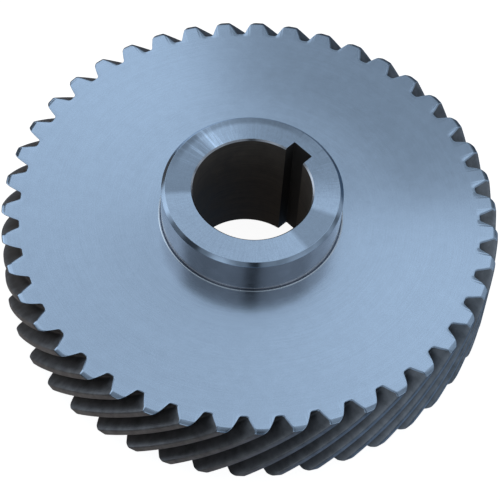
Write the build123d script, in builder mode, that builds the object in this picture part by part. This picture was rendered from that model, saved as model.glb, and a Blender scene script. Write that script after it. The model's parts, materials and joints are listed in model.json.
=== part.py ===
from build123d import *

import math
import os

os.makedirs("parts", exist_ok=True)

# A right-hand, 45 degree helical gear for crossed shafts: a toothed disc shrunk onto a
# keyed hub sleeve that stands proud of both faces of the disc.
# Units are millimetres. +Z runs along the bore axis towards the long end of the hub.
# The origin is on that axis, in the plane of the sleeve's short end, where the gear rests.
# +Y points through the middle of the keyway.

# Teeth. The normal section is a standard full-depth 20 degree rack.
tooth_count = 43
normal_module = 2.0
normal_pressure_angle = 20.0
helix_angle = 45.0
dedendum_factor = 1.25
root_fillet_factor = 0.38
# The tips are chamfered where they meet the end faces: how far in, and how far down.
tip_chamfer_in = 1.2
tip_chamfer_down = 0.6
# Where the middle of the nearest tooth gap stands on the hub-side face, from the keyway's middle.
gap_from_keyway = -2.0

# Disc
face_width = 23.0
seat_chamfer = 0.2

# Hub sleeve
bore_diameter = 30.0
hub_diameter = 45.5
hub_projection = 11.0
back_projection = 2.0
hub_front_chamfer = 0.9
hub_back_chamfer = 0.6
bore_chamfer = 0.4

# Keyway for a 6 mm parallel key, broached right through the bore
keyway_width = 6.0
keyway_depth = 2.8
keyway_corner_radius = 0.25

# Derived heights
disc_back = back_projection
disc_front = disc_back + face_width
hub_front = disc_front + hub_projection

# Derived tooth sizes, in the transverse plane
helix = math.radians(helix_angle)
transverse_pressure = math.atan(math.tan(math.radians(normal_pressure_angle)) / math.cos(helix))
pitch_radius = tooth_count * normal_module / math.cos(helix) / 2
tip_radius = pitch_radius + normal_module
root_radius = pitch_radius - dedendum_factor * normal_module
base_radius = pitch_radius * math.cos(transverse_pressure)
tip_face_radius = tip_radius - tip_chamfer_in
root_fillet = root_fillet_factor * normal_module
twist_per_mm = math.degrees(math.tan(helix) / pitch_radius)

# The cutter that makes one tooth gap runs past both faces and past the tips.
cutter_overrun = 1.5
cutter_radius = tip_radius + 1.0
cutter_length = face_width + 2 * cutter_overrun
flank_steps = 7


def involute(angle):
    return math.tan(angle) - angle


def gap_half_angle(radius):
    """Half the angle that one tooth gap takes up at a radius, in radians."""
    here = math.acos(base_radius / radius)
    return math.pi / (2 * tooth_count) - involute(transverse_pressure) + involute(here)


def flank_point(radius, side):
    """A point of the gap's flank. The gap's middle is on +Y, and side is -1 or +1 along X."""
    angle = gap_half_angle(radius)
    return (side * radius * math.sin(angle), radius * math.cos(angle))


def flank(side):
    """The involute from the root to just outside the tips."""
    step = (cutter_radius - root_radius) / (flank_steps - 1)
    return [flank_point(root_radius + i * step, side) for i in range(flank_steps)]


left_flank = flank(-1)
right_flank = flank(1)

# One tooth gap as a solid: its transverse section, turned along the axis by the helix.
cutter_bottom = disc_back - cutter_overrun
gap_angle_at_bottom = gap_from_keyway - twist_per_mm * (disc_front - cutter_bottom)

with BuildPart() as gap_cutter:
    with BuildSketch(Plane.XY.offset(cutter_bottom).rotated((0, 0, gap_angle_at_bottom))) as gap_section:
        with BuildLine() as gap_outline:
            Spline(*left_flank)
            Spline(*right_flank)
            ThreePointArc(left_flank[0], (0, root_radius), right_flank[0])
            ThreePointArc(left_flank[-1], (0, cutter_radius), right_flank[-1])
        make_face()
        fillet(gap_section.vertices().sort_by(Axis.Y)[:2], root_fillet)
    with BuildLine() as cutter_axis:
        Line((0, 0, cutter_bottom), (0, 0, cutter_bottom + cutter_length))
    with BuildLine() as cutter_twist:
        Helix(
            pitch=360 / twist_per_mm,
            height=cutter_length,
            radius=pitch_radius,
            center=(0, 0, cutter_bottom),
        )
    sweep(path=cutter_axis.wires()[0], binormal=cutter_twist.wires()[0])

# Toothed disc: a turned blank with a seat for the sleeve, and its gaps cut through.
with BuildPart() as gear_disc:
    with BuildSketch(Plane.XZ):
        with BuildLine():
            Polyline(
                (0, disc_back),
                (tip_face_radius, disc_back),
                (tip_radius, disc_back + tip_chamfer_down),
                (tip_radius, disc_front - tip_chamfer_down),
                (tip_face_radius, disc_front),
                (0, disc_front),
                close=True,
            )
        make_face()
    revolve(axis=Axis.Z)
    with Locations((0, 0, disc_front)):
        Hole(hub_diameter / 2)
    seat_rims = gear_disc.edges().filter_by(GeomType.CIRCLE).group_by(SortBy.RADIUS)[0]
    chamfer(seat_rims, seat_chamfer)
    with PolarLocations(0, tooth_count):
        add(gap_cutter.part, mode=Mode.SUBTRACT)
gear_disc.part.label = "gear_disc"
export_step(gear_disc.part, "parts/gear_disc.step")

# Hub sleeve: a turned tube with broken edges and a keyway through its whole length.
with BuildPart() as hub_sleeve:
    Cylinder(hub_diameter / 2, hub_front, align=(Align.CENTER, Align.CENTER, Align.MIN))
    chamfer(hub_sleeve.edges().group_by(Axis.Z)[-1], hub_front_chamfer)
    chamfer(hub_sleeve.edges().group_by(Axis.Z)[0], hub_back_chamfer)
    with Locations((0, 0, hub_front)):
        Hole(bore_diameter / 2)
    bore_rims = hub_sleeve.edges().filter_by(GeomType.CIRCLE).group_by(SortBy.RADIUS)[0]
    chamfer(bore_rims, bore_chamfer)
    with BuildSketch() as keyway:
        keyway_floor = bore_diameter / 2 + keyway_depth
        Rectangle(keyway_width, keyway_floor, align=(Align.CENTER, Align.MIN))
        fillet(keyway.vertices().group_by(Axis.Y)[-1], keyway_corner_radius)
    extrude(amount=hub_front, mode=Mode.SUBTRACT)
hub_sleeve.part.label = "hub_sleeve"
export_step(hub_sleeve.part, "parts/hub_sleeve.step")
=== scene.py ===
"""A right-hand, 45 degree steel helical gear: a toothed disc on a keyed hub sleeve, on its short hub end.

Both pieces are closed meshes, built here at the CAD model's sizes apart from softened edges and a thin lip
round the seat. Each kind of machined surface has its own material. Units are metres, in the CAD frame: +Z
along the bore axis, the hub's long end up, and +Y through the middle of the keyway.
"""

import json
import math

import bpy
import numpy as np
from mathutils import Matrix, Vector


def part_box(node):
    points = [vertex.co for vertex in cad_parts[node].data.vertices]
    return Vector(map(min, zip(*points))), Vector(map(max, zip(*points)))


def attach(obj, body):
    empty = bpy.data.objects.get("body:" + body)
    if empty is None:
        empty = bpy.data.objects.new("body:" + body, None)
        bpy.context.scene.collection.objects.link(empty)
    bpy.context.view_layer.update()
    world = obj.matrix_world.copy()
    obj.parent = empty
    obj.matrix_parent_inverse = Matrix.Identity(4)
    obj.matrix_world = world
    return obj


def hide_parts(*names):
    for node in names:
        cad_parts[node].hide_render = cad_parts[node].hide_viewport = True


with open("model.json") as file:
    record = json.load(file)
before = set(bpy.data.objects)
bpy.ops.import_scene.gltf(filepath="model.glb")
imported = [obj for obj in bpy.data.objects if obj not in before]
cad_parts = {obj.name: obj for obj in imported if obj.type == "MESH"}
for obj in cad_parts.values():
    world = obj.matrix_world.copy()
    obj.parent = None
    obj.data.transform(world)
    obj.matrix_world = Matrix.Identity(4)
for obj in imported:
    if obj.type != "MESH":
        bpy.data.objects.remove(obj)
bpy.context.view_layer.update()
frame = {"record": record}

MM = 0.001

# Tooth design: a standard full-depth rack in the normal section
TEETH = 43
MODULE = 2.0 * MM
PRESSURE_ANGLE = math.radians(20)
HELIX_ANGLE = math.radians(45)
DEDENDUM = 1.25 * MODULE
ROOT_FILLET = 0.38 * MODULE
TIP_CHAMFER_IN = 1.2 * MM
TIP_CHAMFER_DOWN = 0.6 * MM
GAP_ANGLE = math.radians(90 - 2)  # middle of a tooth gap on the hub-side face

# Turned edges
SEAT_CHAMFER = 0.2 * MM
HUB_FRONT_CHAMFER = 0.9 * MM
HUB_BACK_CHAMFER = 0.6 * MM
BORE_CHAMFER = 0.4 * MM
KEYWAY_WIDTH = 6.0 * MM
KEYWAY_CORNER = 0.25 * MM

# Small rounds left by deburring, and the play of the fit that shows as a seam
TOOTH_EDGE_BREAK = 0.25 * MM
TIP_CORNER_ROUND = 0.65 * MM
TIP_CHAMFER_SOFTENING = 0.36 * MM
TURNED_EDGE_ROUND = 0.15 * MM
KEYWAY_EDGE_BREAK = 0.08 * MM
SEAT_GAP = 0.02 * MM
SEAT_LIP_WIDTH = 0.42 * MM
SEAT_LIP_HEIGHT = 0.12 * MM

# Heights and radii read from the frame
disc_low, disc_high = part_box("gear_disc")
sleeve_low, sleeve_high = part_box("hub_sleeve")
mounts = {mount["name"]: mount for mount in frame["record"]["mounts"]}
DISC_BACK, DISC_FRONT = disc_low.z, disc_high.z
HUB_BACK, HUB_FRONT = sleeve_low.z, sleeve_high.z
HUB_RADIUS = sleeve_high.x
BORE_RADIUS = mounts["shaft_bore"]["dims"]["r_mm"] * MM
KEYWAY_FLOOR = BORE_RADIUS + 2.8 * MM

# Tooth sizes in the transverse plane
PITCH_RADIUS = TEETH * MODULE / math.cos(HELIX_ANGLE) / 2
TIP_RADIUS = PITCH_RADIUS + MODULE
ROOT_RADIUS = PITCH_RADIUS - DEDENDUM
TRANSVERSE_PRESSURE = math.atan(math.tan(PRESSURE_ANGLE) / math.cos(HELIX_ANGLE))
BASE_RADIUS = PITCH_RADIUS * math.cos(TRANSVERSE_PRESSURE)
TWIST = math.tan(HELIX_ANGLE) / PITCH_RADIUS  # radians of turn per metre of height
PITCH_ANGLE = 2 * math.pi / TEETH


# ---------------------------------------------------------------- mesh tools


def closed_rings_mesh(name, rings, strips, materials):
    """A ring-shaped solid from rings of points that follow its section once round: out, down, in and up.

    The last ring joins the first. strips holds, for each ring, the material names of the quads to the next
    ring: one name, or one for each quad.
    """
    count = len(rings[0])
    here = np.arange(count)
    after = (here + 1) % count
    names = list(materials)
    faces = []
    slots = []
    for i, strip in enumerate(strips):
        start = i * count
        next_start = (i + 1) % len(rings) * count
        faces.append(np.stack([start + here, next_start + here, next_start + after, start + after], 1))
        quad_names = [strip] * count if isinstance(strip, str) else strip
        slots += [names.index(quad_name) for quad_name in quad_names]
    mesh = bpy.data.meshes.new(name)
    mesh.from_pydata(np.concatenate(rings).tolist(), [], np.concatenate(faces).tolist())
    for material in materials.values():
        mesh.materials.append(material)
    mesh.polygons.foreach_set("material_index", slots)
    mesh.shade_smooth()
    mesh.set_sharp_from_angle(angle=SHARP_ANGLE)
    piece = bpy.data.objects.new(name, mesh)
    bpy.context.scene.collection.objects.link(piece)
    weighted = piece.modifiers.new("flat faces stay flat", "WEIGHTED_NORMAL")
    weighted.keep_sharp = True
    return piece


SHARP_ANGLE = math.radians(33)


def at_height(outline, z):
    """A plane outline as a ring of 3D points."""
    return np.column_stack([outline, np.full(len(outline), z)])


def turned(outline, angle):
    """A plane outline turned about the origin."""
    c, s = math.cos(angle), math.sin(angle)
    return outline @ np.array([[c, s], [-s, c]])


def circle_below(outline, radius):
    """Points on a circle, each at the angle of its point of the outline."""
    return outline / np.linalg.norm(outline, axis=1)[:, None] * radius


def inset(outline, distance):
    """A closed, anticlockwise outline moved into its own material."""
    tangent = np.roll(outline, -1, 0) - np.roll(outline, 1, 0)
    tangent /= np.linalg.norm(tangent, axis=1)[:, None]
    inward = np.column_stack([-tangent[:, 1], tangent[:, 0]])
    return outline + inward * distance


def quarter_round(radius, steps):
    """(distance in from the wall, distance below the face) along a quarter round that starts at the face."""
    angles = np.linspace(0, math.pi / 2, steps + 1)
    return [(radius * (1 - math.sin(a)), radius * (1 - math.cos(a))) for a in angles]


# ---------------------------------------------------------------- toothed disc

ROOT_STEPS = 3
FILLET_STEPS = 5
FLANK_STEPS = 7
CORNER_STEPS = 4
TIP_STEPS = 2
EDGE_STEPS = 3
TIP_CHAMFER_LAYERS = 7
LIP_STEPS = 6
LAYER_HEIGHT = 1.0 * MM
SEAT_LAYER_HEIGHT = 2.0 * MM


def involute(angle):
    return math.tan(angle) - angle


def flank_point(radius):
    """The point at a radius on the anticlockwise flank of the gap whose middle is on +X."""
    here = math.acos(BASE_RADIUS / radius)
    angle = PITCH_ANGLE / 4 - involute(TRANSVERSE_PRESSURE) + involute(here)
    return np.array([math.cos(angle), math.sin(angle)]) * radius


def beside_flank(radius, distance):
    """The point at a distance into the gap from the flank, or into the tooth where it is negative."""
    step = 1e-6
    along = flank_point(radius + step) - flank_point(radius - step)
    along /= np.linalg.norm(along)
    return flank_point(radius) + np.array([along[1], -along[0]]) * distance


def touching_round(distance, centre_radius):
    """Where on the flank a round starts whose centre is that far beside it, and that centre."""
    low, high = ROOT_RADIUS, TIP_RADIUS + MODULE
    for _ in range(50):
        middle = (low + high) / 2
        if np.linalg.norm(beside_flank(middle, distance)) < centre_radius:
            low = middle
        else:
            high = middle
    return low, beside_flank(low, distance)


def arc(centre, start, end, steps):
    """Points along the short arc about a centre, without the last one."""
    first = math.atan2(*(start - centre)[::-1])
    turn = math.atan2(*(end - centre)[::-1]) - first
    turn = (turn + math.pi) % (2 * math.pi) - math.pi
    angles = first + turn * np.arange(steps) / steps
    radius = np.linalg.norm(start - centre)
    return [centre + radius * np.array([math.cos(a), math.sin(a)]) for a in angles]


def half_tooth(tip_radius):
    """Outline points from the middle of a gap on +X to the middle of the next tooth."""
    origin = np.zeros(2)
    fillet_end, fillet_centre = touching_round(ROOT_FILLET, ROOT_RADIUS + ROOT_FILLET)
    corner_start, corner_centre = touching_round(-TIP_CORNER_ROUND, tip_radius - TIP_CORNER_ROUND)
    root_end = fillet_centre * ROOT_RADIUS / np.linalg.norm(fillet_centre)
    tip_start = corner_centre * tip_radius / np.linalg.norm(corner_centre)
    tip_middle = tip_radius * np.array([math.cos(PITCH_ANGLE / 2), math.sin(PITCH_ANGLE / 2)])
    flank_radii = np.linspace(fillet_end, corner_start, FLANK_STEPS + 1)[:-1]
    points = arc(origin, np.array([ROOT_RADIUS, 0]), root_end, ROOT_STEPS)
    points += arc(fillet_centre, root_end, flank_point(fillet_end), FILLET_STEPS)
    points += [flank_point(radius) for radius in flank_radii]
    points += arc(corner_centre, flank_point(corner_start), tip_start, CORNER_STEPS)
    points += arc(origin, tip_start, tip_middle, TIP_STEPS)
    points.append(tip_middle)
    return np.array(points)


def tooth_outline(tip_radius):
    """The whole transverse outline, anticlockwise, with the middle of a gap on +X."""
    half = half_tooth(tip_radius)
    mirror_image = turned(half[::-1] * [1, -1], PITCH_ANGLE)
    one_pitch = np.concatenate([half[:-1], mirror_image[:-1]])
    return np.concatenate([turned(one_pitch, i * PITCH_ANGLE) for i in range(TEETH)])


def outline_names(beside, tip):
    """The names of the quads that follow an outline: one name for the tips, and one for all between them."""
    side = [beside] * (ROOT_STEPS + FILLET_STEPS + FLANK_STEPS)
    return (side + [tip] * 2 * (CORNER_STEPS + TIP_STEPS) + side) * TEETH


def disc_turn(z):
    """How far the outline is turned at a height."""
    return GAP_ANGLE + TWIST * (z - DISC_FRONT)


def section_at(z):
    """The outline at a height. The tip circle draws in towards each end face, by the tip chamfer."""
    depth = min(DISC_FRONT - z, z - DISC_BACK)
    straight = TIP_CHAMFER_IN * (1 - depth / TIP_CHAMFER_DOWN)
    drawn_in = (straight + math.hypot(straight, TIP_CHAMFER_SOFTENING)) / 2
    return turned(tooth_outline(TIP_RADIUS - drawn_in), disc_turn(z))


def even_heights(high, low, step):
    """Heights from high to low in even steps of about the given size."""
    return np.linspace(high, low, max(2, round((high - low) / step) + 1))


def wall_heights():
    """Heights of the toothed wall's rings, from the front edge break to the back one."""
    depths = np.linspace(TOOTH_EDGE_BREAK, 2 * TIP_CHAMFER_DOWN, TIP_CHAMFER_LAYERS + 1)
    middle = even_heights(DISC_FRONT - depths[-1], DISC_BACK + depths[-1], LAYER_HEIGHT)[1:-1]
    return list(DISC_FRONT - depths) + list(middle) + list(DISC_BACK + depths[::-1])


def build_disc(materials):
    rings = []
    strips = []

    def add(outline, z, strip):
        rings.append(at_height(outline, z))
        strips.append(strip)

    lip = HUB_RADIUS + SEAT_CHAMFER
    face_radii = [lip + SEAT_LIP_WIDTH, (lip + ROOT_RADIUS) / 2, ROOT_RADIUS - 1.0 * MM]
    edge = quarter_round(TOOTH_EDGE_BREAK, EDGE_STEPS)

    front = section_at(DISC_FRONT)
    back = section_at(DISC_BACK)
    for across in np.linspace(0, 1, LIP_STEPS + 1)[:-1]:
        height = SEAT_LIP_HEIGHT * math.sin(math.pi * across)
        add(circle_below(front, lip + across * SEAT_LIP_WIDTH), DISC_FRONT + height, "lip")
    for radius in face_radii:
        add(circle_below(front, radius), DISC_FRONT, "disc_face")
    edge_names = outline_names("tooth_edge", "tip_chamfer")
    chamfer_names = outline_names("tooth", "tip_chamfer")
    for across, down in edge[:-1]:
        z = DISC_FRONT - down
        add(inset(section_at(z), across), z, edge_names)
    for z in wall_heights():
        from_end = min(DISC_FRONT - z, z - DISC_BACK)
        add(section_at(z), z, chamfer_names if from_end < TIP_CHAMFER_DOWN else "tooth")
    strips[-1] = edge_names
    for across, up in edge[-2::-1]:
        z = DISC_BACK + up
        add(inset(section_at(z), across), z, edge_names)
    strips[-1] = "disc_face"
    for radius in [*face_radii[::-1], lip]:
        add(circle_below(back, radius), DISC_BACK, "disc_face")
    strips[-1] = "seat"

    seat_radius = HUB_RADIUS + SEAT_GAP
    for z in even_heights(DISC_BACK + SEAT_CHAMFER, DISC_FRONT - SEAT_CHAMFER, -SEAT_LAYER_HEIGHT):
        add(circle_below(section_at(z), seat_radius), z, "seat")
    return closed_rings_mesh("toothed_disc", rings, strips, materials)


# ---------------------------------------------------------------- hub sleeve

BORE_STEPS = 224
KEYWAY_WALL_STEPS = 3
KEYWAY_CORNER_STEPS = 3
KEYWAY_FLOOR_STEPS = 8
ROUND_STEPS = 2


def bore_outline(radius, growth=0.0):
    """The bore with its keyway, anticlockwise from the foot of the keyway's +X wall."""
    half = KEYWAY_WIDTH / 2 + growth
    floor = KEYWAY_FLOOR + growth
    foot = math.sqrt(radius**2 - half**2)
    corner = np.array([half - KEYWAY_CORNER, floor - KEYWAY_CORNER])
    wall = [np.array([half, y]) for y in np.linspace(foot, corner[1], KEYWAY_WALL_STEPS + 1)[:-1]]
    wall += arc(corner, np.array([half, corner[1]]), np.array([corner[0], floor]), KEYWAY_CORNER_STEPS)
    right = wall + [np.array([corner[0], floor])]
    across = np.linspace(corner[0], -corner[0], KEYWAY_FLOOR_STEPS + 1)[1:-1]
    floor_points = [np.array([x, floor]) for x in across]
    left = [point * [-1, 1] for point in right[::-1]]
    half_turn = math.atan2(half, foot)
    angles = np.linspace(math.pi / 2 + half_turn, 2.5 * math.pi - half_turn, BORE_STEPS + 1)[1:-1]
    bore = [radius * np.array([math.cos(a), math.sin(a)]) for a in angles]
    return np.array(right + floor_points + left + bore)


def bore_names():
    keyway_steps = 2 * (KEYWAY_WALL_STEPS + KEYWAY_CORNER_STEPS) + KEYWAY_FLOOR_STEPS
    return ["keyway"] * keyway_steps + ["bore"] * BORE_STEPS


def rounded(before, corner, after, radius):
    """Section points of the round that replaces a corner, from (radius, height) points."""
    before, corner, after = (np.array(point) for point in (before, corner, after))
    to_before = (before - corner) / np.linalg.norm(before - corner)
    to_after = (after - corner) / np.linalg.norm(after - corner)
    half_angle = math.acos(np.clip(to_before @ to_after, -1, 1)) / 2
    reach = radius / math.tan(half_angle)
    middle = to_before + to_after
    centre = corner + middle / np.linalg.norm(middle) * radius / math.sin(half_angle)
    end = corner + to_after * reach
    return arc(centre, corner + to_before * reach, end, ROUND_STEPS) + [end]


def build_sleeve(materials):
    rings = []
    strips = []

    def add(outline, z, strip):
        rings.append(at_height(outline, z))
        strips.append(strip)

    rim = BORE_RADIUS + BORE_CHAMFER
    angles_from = bore_outline(BORE_RADIUS)
    section = [
        (rim, HUB_FRONT),
        (HUB_RADIUS - HUB_FRONT_CHAMFER, HUB_FRONT),
        (HUB_RADIUS, HUB_FRONT - HUB_FRONT_CHAMFER),
        (HUB_RADIUS, HUB_BACK + HUB_BACK_CHAMFER),
        (HUB_RADIUS - HUB_BACK_CHAMFER, HUB_BACK),
        (rim, HUB_BACK),
    ]
    after_corner = ["hub_chamfer", "hub_wall", "hub_chamfer", "hub_face"]
    names = bore_names()
    rim_names = ["keyway" if name == "keyway" else "bore_rim" for name in names]

    add(bore_outline(rim, KEYWAY_EDGE_BREAK), HUB_FRONT, "hub_face")
    for i, strip in enumerate(after_corner, 1):
        for radius, z in rounded(section[i - 1], section[i], section[i + 1], TURNED_EDGE_ROUND):
            add(circle_below(angles_from, radius), z, "hub_chamfer")
        strips[-1] = strip
    add(bore_outline(rim, KEYWAY_EDGE_BREAK), HUB_BACK, rim_names)
    for z in even_heights(HUB_BACK + BORE_CHAMFER, HUB_FRONT - BORE_CHAMFER, -6 * MM):
        add(bore_outline(BORE_RADIUS), z, names)
    strips[-1] = rim_names
    return closed_rings_mesh("hub_sleeve_turned", rings, strips, materials)


# ---------------------------------------------------------------- material tools


def node(tree, kind, inputs=None, **settings):
    """Adds a shader node. inputs maps a socket's name or number to a value or to another node's output."""
    made = tree.nodes.new(kind)
    for key, value in settings.items():
        setattr(made, key, value)
    for socket, value in (inputs or {}).items():
        if isinstance(value, bpy.types.NodeSocket):
            tree.links.new(value, made.inputs[socket])
        else:
            made.inputs[socket].default_value = value
    return made


def maths(tree, operation, *values):
    return node(tree, "ShaderNodeMath", dict(enumerate(values)), operation=operation).outputs[0]


def remap(tree, value, low, high, to_low, to_high, smooth=False):
    """Maps low..high to to_low..to_high, held at the ends."""
    inputs = {"Value": value, "From Min": low, "From Max": high, "To Min": to_low, "To Max": to_high}
    interpolation = "SMOOTHSTEP" if smooth else "LINEAR"
    return node(tree, "ShaderNodeMapRange", inputs, interpolation_type=interpolation).outputs["Result"]


def along(tree, direction, axis):
    """How far a direction points along an axis."""
    product = node(tree, "ShaderNodeVectorMath", {0: direction, 1: axis}, operation="DOT_PRODUCT")
    return product.outputs["Value"]


def noise(tree, vector, scale=1.0, detail=2.0, roughness=0.5):
    inputs = {"Vector": vector, "Scale": scale, "Detail": detail, "Roughness": roughness}
    return node(tree, "ShaderNodeTexNoise", inputs).outputs[0]


def mixed(tree, factor, first, second):
    """A colour between two, by a factor."""
    made = node(tree, "ShaderNodeMix", data_type="RGBA")
    for socket, value in ((made.inputs[0], factor), (made.inputs[6], first), (made.inputs[7], second)):
        if isinstance(value, bpy.types.NodeSocket):
            tree.links.new(value, socket)
        else:
            socket.default_value = value
    return made.outputs[2]


def grey(value):
    return (value, value, value, 1)


class Surface:
    """A material with its shader and the part's own coordinates ready to use."""

    def __init__(self, name, metallic, roughness, **constants):
        self.material = bpy.data.materials.new(name)
        self.material.use_nodes = True
        self.tree = self.material.node_tree
        self.shader = self.tree.nodes["Principled BSDF"]
        self.shader.inputs["Metallic"].default_value = metallic
        self.shader.inputs["Roughness"].default_value = roughness
        for socket, value in constants.items():
            self.shader.inputs[socket.replace("_", " ")].default_value = value
        self.place = node(self.tree, "ShaderNodeTexCoord").outputs["Object"]
        split = node(self.tree, "ShaderNodeSeparateXYZ", {0: self.place})
        self.x, self.y, self.z = split.outputs
        flat = node(self.tree, "ShaderNodeCombineXYZ", {0: self.x, 1: self.y}).outputs[0]
        self.radius = node(self.tree, "ShaderNodeVectorMath", {0: flat}, operation="LENGTH").outputs["Value"]
        self.around = node(self.tree, "ShaderNodeVectorMath", {0: flat}, operation="NORMALIZE").outputs[0]

    def link(self, value, socket):
        self.tree.links.new(value, self.shader.inputs[socket])

    def polar(self, around, out, along=0.0):
        """Coordinates that close on themselves round the axis, with a scale for each direction, per metre."""
        scaled = node(self.tree, "ShaderNodeVectorMath", {0: self.around, "Scale": around}, operation="SCALE")
        depth = maths(self.tree, "MULTIPLY", self.radius, out)
        depth = maths(self.tree, "MULTIPLY_ADD", self.z, along, depth)
        lift = node(self.tree, "ShaderNodeCombineXYZ", {2: depth}).outputs[0]
        inputs = {0: scaled.outputs[0], 1: lift}
        return node(self.tree, "ShaderNodeVectorMath", inputs, operation="ADD").outputs[0]

    def bump(self, height, distance, normal=None):
        """The normal over a height field in 0..1 that stands distance metres tall."""
        inputs = {"Height": height, "Strength": 1.0, "Distance": distance}
        if normal is not None:
            inputs["Normal"] = normal
        return node(self.tree, "ShaderNodeBump", inputs).outputs[0]

    def sector(self, middle, half_width, feather=3):
        """1 in a sector round the axis, given in degrees from +X, and 0 outside."""
        middle = math.radians(middle)
        facing = along(self.tree, self.around, (math.cos(middle), math.sin(middle), 0))
        outer, inner = math.radians(half_width + feather), math.radians(half_width - feather)
        return remap(self.tree, facing, math.cos(outer), math.cos(inner), 0, 1, smooth=True)

    def radial_grain(self):
        """Turns the anisotropic highlight so that it spreads across lines that circle the axis."""
        tangent = node(self.tree, "ShaderNodeTangent", direction_type="RADIAL", axis="Z").outputs[0]
        self.link(tangent, "Tangent")


# ---------------------------------------------------------------- materials

STEEL = (0.50, 0.58, 0.68, 1)
GREY_STEEL = (0.61, 0.59, 0.60, 1)
# A lighter steel for the seat lip: partly burnished steel, partly a painted highlight
BRIGHT_STEEL = (0.78, 0.81, 0.84, 1)


def faced_material(name, ring_scale, ring_height, lean_from):
    """A faced steel surface and its brightness so far. Its fine tool rings lean outward from a radius on."""
    face = Surface(name, 1.0, 0.2, Anisotropic=0.8, Anisotropic_Rotation=0.25)
    tree = face.tree
    face.radial_grain()
    rings = noise(tree, face.polar(1.5, ring_scale), detail=2)
    mottle = noise(tree, face.place, scale=420, detail=4, roughness=0.6)
    grain = noise(tree, face.place, scale=3600, detail=1)
    shade = maths(tree, "ADD", maths(tree, "MULTIPLY", rings, 0.25), maths(tree, "MULTIPLY", mottle, 0.3))
    shade = maths(tree, "MULTIPLY_ADD", grain, 0.45, shade)
    face.link(remap(tree, mottle, 0.3, 0.7, 0.195, 0.21), "Roughness")
    outside = maths(tree, "SMOOTH_MAX", maths(tree, "SUBTRACT", face.radius, lean_from), 0.0, 0.008)
    cone = maths(tree, "MULTIPLY", outside, -GROOVE_LEAN)
    face.link(face.bump(rings, ring_height, face.bump(cone, 1.0)), "Normal")
    return face, remap(tree, shade, 0.38, 0.62, 0.9, 1.03)


GROOVE_LEAN = 0.045
# The turned grooves: how closely they lie, how high they are, and where on the disc they start to lean
RING_SCALE = 5000
DISC_RING_HEIGHT = 0.001 * MM
HUB_RING_HEIGHT = 0.002 * MM
DISC_LEAN_FROM = 38 * MM


def tinted(surface, brightness, colour=STEEL):
    """Sets a surface's colour to a steel colour times a brightness."""
    values = {0: colour[:3], "Scale": brightness}
    scaled = node(surface.tree, "ShaderNodeVectorMath", values, operation="SCALE")
    surface.link(scaled.outputs[0], "Base Color")


def disc_face_material():
    face, brightness = faced_material("faced_steel", RING_SCALE, DISC_RING_HEIGHT, DISC_LEAN_FROM)
    tinted(face, brightness)
    return face.material


def hub_face_material():
    """The hub's end face: painted shade in two sectors, darker along part of its rim, and painted highlight
    streaks running outward in one sector.
    """
    face, brightness = faced_material("faced_steel_hub", RING_SCALE, HUB_RING_HEIGHT, 0.0)
    tree = face.tree
    # painted highlight: lighter radial streaks in one sector
    streaks = noise(tree, face.polar(26.0, 90), detail=3, roughness=0.7)
    hatch = noise(tree, face.polar(95.0, 150), detail=2)
    near_rim = remap(tree, face.radius, HUB_RADIUS - 3.2 * MM, HUB_RADIUS - 1.8 * MM, 0, 1, smooth=True)
    streak_highlight = maths(tree, "MULTIPLY", face.sector(*HIGHLIGHT_STREAKS), remap(tree, streaks, 0.48, 0.7, 0, 0.55))
    darker_rim = maths(tree, "MULTIPLY", near_rim, face.sector(*DARKER_RIM))
    factors = [
        remap(tree, hatch, 0.35, 0.65, 0.93, 1.0),
        # painted shade: two sectors made darker
        maths(tree, "MULTIPLY_ADD", face.sector(*FIRST_PAINTED_SHADE), -0.42, 1.0),
        maths(tree, "MULTIPLY_ADD", face.sector(*SECOND_PAINTED_SHADE), -0.38, 1.0),
        maths(tree, "MULTIPLY_ADD", darker_rim, -0.35, 1.0),
        maths(tree, "ADD", 1.0, streak_highlight),
    ]
    for factor in factors:
        brightness = maths(tree, "MULTIPLY", brightness, factor)
    tinted(face, brightness)
    return face.material


# Middle, half width and feather of marks on the hub's end face, in degrees anticlockwise from +X
# painted shade, the first of a pair of darker sectors
FIRST_PAINTED_SHADE = (204, 27)
# painted shade, the second sector of the pair
SECOND_PAINTED_SHADE = (9, 16)
# darker towards the rim in this sector
DARKER_RIM = (152, 50, 16)
# painted highlight: lighter radial streaks
HIGHLIGHT_STREAKS = (175, 22, 8)


def polished_material(name, roughness, line_height, colour=STEEL):
    """A finely turned, bright surface with faint lines round the axis."""
    wall = Surface(name, 1.0, roughness)
    tree = wall.tree
    lines = noise(tree, wall.polar(1.0, 1500, 2600), detail=3)
    mottle = noise(tree, wall.place, scale=300, detail=4, roughness=0.6)
    tinted(wall, remap(tree, mottle, 0.35, 0.65, 0.9, 1.0), colour)
    wall.link(remap(tree, mottle, 0.3, 0.7, roughness * 0.8, roughness * 1.25), "Roughness")
    wall.link(wall.bump(lines, line_height), "Normal")
    return wall.material


def dark_material(name, colour, metallic, roughness, lines_along, line_height):
    """Cut steel, dark partly from oil in its tool marks and partly from painted shade."""
    cut = Surface(name, metallic, roughness)
    tree = cut.tree
    lines = noise(tree, cut.polar(*lines_along), detail=3)
    blotch = noise(tree, cut.place, scale=260, detail=4, roughness=0.6)
    shade = maths(tree, "ADD", maths(tree, "MULTIPLY", lines, 0.4), maths(tree, "MULTIPLY", blotch, 0.6))
    tinted(cut, remap(tree, shade, 0.35, 0.65, 0.75, 1.35), colour)
    cut.link(remap(tree, blotch, 0.3, 0.7, roughness * 0.9, roughness * 1.1), "Roughness")
    cut.link(cut.bump(lines, line_height), "Normal")
    return cut.material


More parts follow.
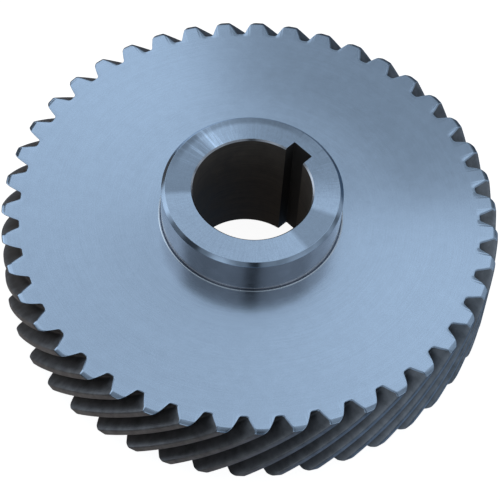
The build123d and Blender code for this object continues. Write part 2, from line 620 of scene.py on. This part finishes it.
def tooth_material():
    """Hobbed teeth: dark in the gaps, partly from oil and partly painted shade that deepens towards the root,
    with painted light making the tips lighter.
    """
    tooth = Surface("hobbed_tooth", 1.0, 0.46)
    tree = tooth.tree
    lines = noise(tree, tooth.polar(8.0, 300, 300), detail=2)
    blotch = noise(tree, tooth.place, scale=330, detail=4, roughness=0.65)
    # painted light: the tips are made lighter where they catch the light
    lit_tips = remap(tree, tooth.radius, TIP_RADIUS - 1.5 * MM, TIP_RADIUS - 0.1 * MM, 0, 1, smooth=True)
    # painted shade: darker towards the root of each gap
    root_shade = remap(tree, tooth.radius, ROOT_RADIUS, ROOT_RADIUS + 2 * MM, 0.7, 1.0, smooth=True)
    texture = remap(tree, blotch, 0.3, 0.7, 0.7, 1.3)
    brightness = maths(tree, "MULTIPLY", texture, maths(tree, "MULTIPLY_ADD", lit_tips, TIP_GAIN, root_shade))
    tinted(tooth, brightness, GAP_STEEL)
    tooth.link(remap(tree, blotch, 0.3, 0.7, 0.43, 0.5), "Roughness")
    tooth.link(tooth.bump(lines, 0.003 * MM), "Normal")
    return tooth.material


# A dark steel colour for the teeth, standing partly for oil and partly for painted shade in the gaps
GAP_STEEL = (0.25, 0.245, 0.247)
TIP_GAIN = 0.5


disc_materials = {
    "disc_face": disc_face_material(),
    "tooth": tooth_material(),
    "tooth_edge": polished_material("broken_tooth_edge", 0.34, 0.001 * MM),
    "tip_chamfer": polished_material("turned_tip_chamfer", 0.2, 0.002 * MM),
    "seat": polished_material("seat_chamfer", 0.2, 0.002 * MM),
    # the lip's lighter colour is partly burnished steel and partly a painted highlight
    "lip": polished_material("burnished_lip_and_painted_highlight", 0.25, 0.001 * MM, BRIGHT_STEEL),
}
sleeve_materials = {
    "hub_face": hub_face_material(),
    "hub_wall": polished_material("turned_hub_wall", 0.16, 0.003 * MM, GREY_STEEL),
    "hub_chamfer": polished_material("turned_hub_chamfer", 0.14, 0.002 * MM),
    "bore_rim": polished_material("bore_rim", 0.2, 0.001 * MM, GREY_STEEL),
    # The bore's and keyway's dark colours are partly oil and partly painted shade, the keyway's darker still
    "bore": dark_material("reamed_bore", (0.115, 0.088, 0.066), 0.1, 0.8, (1.0, 0, 2600), 0.002 * MM),
    "keyway": dark_material("broached_keyway", (0.05, 0.042, 0.035), 0.2, 0.75, (400.0, 0, 60), 0.004 * MM),
}


# ---------------------------------------------------------------- pieces

disc = build_disc(disc_materials)
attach(disc, "root")
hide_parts("gear_disc")

sleeve = build_sleeve(sleeve_materials)
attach(sleeve, "root")
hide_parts("hub_sleeve")


# ---------------------------------------------------------------- camera

VIEW_AZIMUTH = math.radians(41.65)
VIEW_ELEVATION = math.radians(56.56)
VIEW_ROLL = math.radians(4.63)
VIEW_DISTANCE = 0.5282
LENS = 150.6
SENSOR = 36.0
AIM_BELOW_FACE_CENTRE = 9.18 * MM  # down the picture
AIM_LEFT_OF_FACE_CENTRE = 0.19 * MM


def make_camera():
    camera = bpy.data.objects.new("camera", bpy.data.cameras.new("camera"))
    bpy.context.scene.collection.objects.link(camera)
    back = Vector(
        (
            math.sin(VIEW_AZIMUTH) * math.cos(VIEW_ELEVATION),
            -math.cos(VIEW_AZIMUTH) * math.cos(VIEW_ELEVATION),
            math.sin(VIEW_ELEVATION),
        )
    )
    turn = (-back).to_track_quat("-Z", "Y").to_matrix() @ Matrix.Rotation(VIEW_ROLL, 3, "Z")
    right, up, _ = turn.transposed()
    face_centre = Vector((0, 0, DISC_FRONT))
    aim = face_centre - up * AIM_BELOW_FACE_CENTRE - right * AIM_LEFT_OF_FACE_CENTRE
    camera.matrix_world = Matrix.Translation(aim + back * VIEW_DISTANCE) @ turn.to_4x4()
    camera.data.lens = LENS
    camera.data.sensor_width = SENSOR
    camera.data.clip_start = 0.01
    camera.data.clip_end = 50
    bpy.context.scene.camera = camera


make_camera()


# ---------------------------------------------------------------- light and floor

FLOOR_SIZE = 12.0


def toward(azimuth, elevation):
    """A direction in the part's frame. Azimuth is degrees to the right of straight away from the viewer."""
    azimuth = VIEW_AZIMUTH - math.radians(azimuth) + math.pi / 2
    elevation = math.radians(elevation)
    return (
        math.cos(azimuth) * math.cos(elevation),
        math.sin(azimuth) * math.cos(elevation),
        math.sin(elevation),
    )


SKY = (0.73, 0.885, 1.06)
BLUE = (0.12, 0.2, 0.3)
GROUND_LEFT = (0.17, 0.16, 0.155, 1)
GROUND_RIGHT = (0.15, 0.24, 0.38, 1)
SHADE_ROLL = 14.3  # how far the dark panel's corner is turned
VIEWER_AZIMUTH = 172

# Soft round patches of sky: azimuth, elevation, inner and outer angle in degrees, and strength. They are
# placed for the camera above, so that the flat, turned and toothed surfaces mirror what is wanted there.
DARKER_PATCHES = (
    (-40, 70, 6, 30, 0.25),
    (-117, 25, 6, 12, 0.8),
    (-42, 20, 12, 20, 0.9),
)
LIGHTER_PATCHES = (
    (180, 84, 12, 24, 0.18),
    (112, 54, 6, 22, 0.18),
    (-66, 7, 11, 21, 0.8),
    (-24, 8, 6, 12, 0.8),
    (-155, 14, 12, 22, 0.4),
    (-154, 26, 8, 17, 0.12),
    (-150, 32, 4, 9, 0.15),
    (126, 26, 14, 34, 0.16),
    (130, 0, 16, 33, 0.5),
    (94, 15, 8, 20, 0.2),
    (58, 2, 8, 16, 0.5),
)
BLUE_PATCH = (177, 8, 14, 24, 1.0)


def patch(tree, direction, centre, inner, outer, strength):
    """strength within inner degrees of a direction, falling to 0 at outer degrees."""
    facing = along(tree, direction, centre)
    edge = math.cos(math.radians(outer))
    core = math.cos(math.radians(inner))
    return remap(tree, facing, edge, core, 0, strength, smooth=True)


def dark_panel(tree, direction):
    """1 inside a dark panel in the lower right of the far sky. Its corner is where a flat face mirrors."""
    corner = Vector(toward(0, math.degrees(VIEW_ELEVATION)))
    right = Vector(toward(90, 0))
    down = corner.cross(right)
    roll = math.radians(SHADE_ROLL)
    into_from_top = down * math.cos(roll) - right * math.sin(roll)
    into_from_left = right * math.cos(roll) + down * math.sin(roll)
    top_edge = remap(tree, along(tree, direction, into_from_top), 0.0, 0.025, 0, 1, smooth=True)
    left_edge = remap(tree, along(tree, direction, into_from_left), -0.035, 0.06, 0, 1, smooth=True)
    return maths(tree, "MULTIPLY", top_edge, left_edge)


def viewer_shade(tree, direction):
    """1 in a tall narrow shape behind the viewer."""
    aside = maths(tree, "ABSOLUTE", along(tree, direction, toward(VIEWER_AZIMUTH + 90, 0)))
    behind = remap(tree, along(tree, direction, toward(VIEWER_AZIMUTH, 0)), 0.1, 0.2, 0, 1, smooth=True)
    return maths(tree, "MULTIPLY", behind, remap(tree, aside, 0.06, 0.13, 1, 0, smooth=True))


def make_world():
    """A soft bluish studio: a bright dome with a dark panel, lighter low at the sides, dark behind."""
    world = bpy.data.worlds.new("studio")
    bpy.context.scene.world = world
    world.use_nodes = True
    tree = world.node_tree
    tree.nodes.clear()
    direction = node(tree, "ShaderNodeTexCoord").outputs["Generated"]
    height = along(tree, direction, (0, 0, 1))
    away = along(tree, direction, toward(0, 0))
    right = along(tree, direction, toward(90, 0))
    factors = [
        remap(tree, height, 0.0, 0.5, 0.15, 1.0, smooth=True),
        remap(tree, away, -0.05, 0.04, 0.28, 1.0, smooth=True),
        remap(tree, right, 0.28, 0.55, 1.0, 0.5, smooth=True),
        maths(tree, "MULTIPLY_ADD", dark_panel(tree, direction), -0.63, 1.0),
        maths(tree, "MULTIPLY_ADD", viewer_shade(tree, direction), -0.88, 1.0),
    ]
    for azimuth, elevation, inner, outer, strength in DARKER_PATCHES:
        darker = patch(tree, direction, toward(azimuth, elevation), inner, outer, strength)
        factors.append(maths(tree, "SUBTRACT", 1.0, darker))
    light = factors[0]
    for factor in factors[1:]:
        light = maths(tree, "MULTIPLY", light, factor)
    for azimuth, elevation, inner, outer, strength in LIGHTER_PATCHES:
        lighter = patch(tree, direction, toward(azimuth, elevation), inner, outer, strength)
        light = maths(tree, "ADD", light, lighter)
    sky = node(tree, "ShaderNodeVectorMath", {0: SKY, "Scale": light}, operation="SCALE").outputs[0]
    azimuth, elevation, inner, outer, strength = BLUE_PATCH
    blue = patch(tree, direction, toward(azimuth, elevation), inner, outer, strength)
    blue = node(tree, "ShaderNodeVectorMath", {0: BLUE, "Scale": blue}, operation="SCALE").outputs[0]
    sky = node(tree, "ShaderNodeVectorMath", {0: sky, 1: blue}, operation="ADD").outputs[0]
    side = mixed(tree, remap(tree, right, -0.1, 0.5, 0, 1, smooth=True), GROUND_LEFT, GROUND_RIGHT)
    shaded = remap(tree, away, -0.6, -0.1, 0.65, 1.0)
    shaded = maths(tree, "MULTIPLY", shaded, remap(tree, height, -0.72, -0.45, 1.3, 0.45, smooth=True))
    ground = node(tree, "ShaderNodeVectorMath", {0: side, "Scale": shaded}, operation="SCALE").outputs[0]
    colour = mixed(tree, remap(tree, height, -0.03, 0.01, 0, 1), ground, sky)
    lit = node(tree, "ShaderNodeBackground", {"Color": colour, "Strength": 1.0}).outputs[0]
    plain = node(tree, "ShaderNodeBackground", {"Color": grey(1.0), "Strength": 1.0}).outputs[0]
    seen = node(tree, "ShaderNodeLightPath").outputs["Is Camera Ray"]
    both = node(tree, "ShaderNodeMixShader", {0: seen, 1: lit, 2: plain}).outputs[0]
    node(tree, "ShaderNodeOutputWorld", {"Surface": both})


def make_floor():
    """A plain pale floor. It glows a little, as a light table does, so that the gear's shadow stays faint."""
    mesh = bpy.data.meshes.new("floor")
    half = FLOOR_SIZE / 2
    corners = [(-half, -half, 0), (half, -half, 0), (half, half, 0), (-half, half, 0)]
    mesh.from_pydata(corners, [], [(0, 1, 2, 3)])
    floor = bpy.data.objects.new("floor", mesh)
    bpy.context.scene.collection.objects.link(floor)
    floor.location.z = HUB_BACK
    floor.visible_glossy = False
    floor.visible_diffuse = False
    surface = Surface("pale_floor", 0.0, 0.9, Emission_Strength=0.93)
    surface.shader.inputs["Base Color"].default_value = (0.45, 0.4, 0.36, 1)
    surface.shader.inputs["Emission Color"].default_value = grey(1.0)
    mesh.materials.append(surface.material)


make_world()
make_floor()
bpy.context.scene.view_settings.view_transform = "Standard"
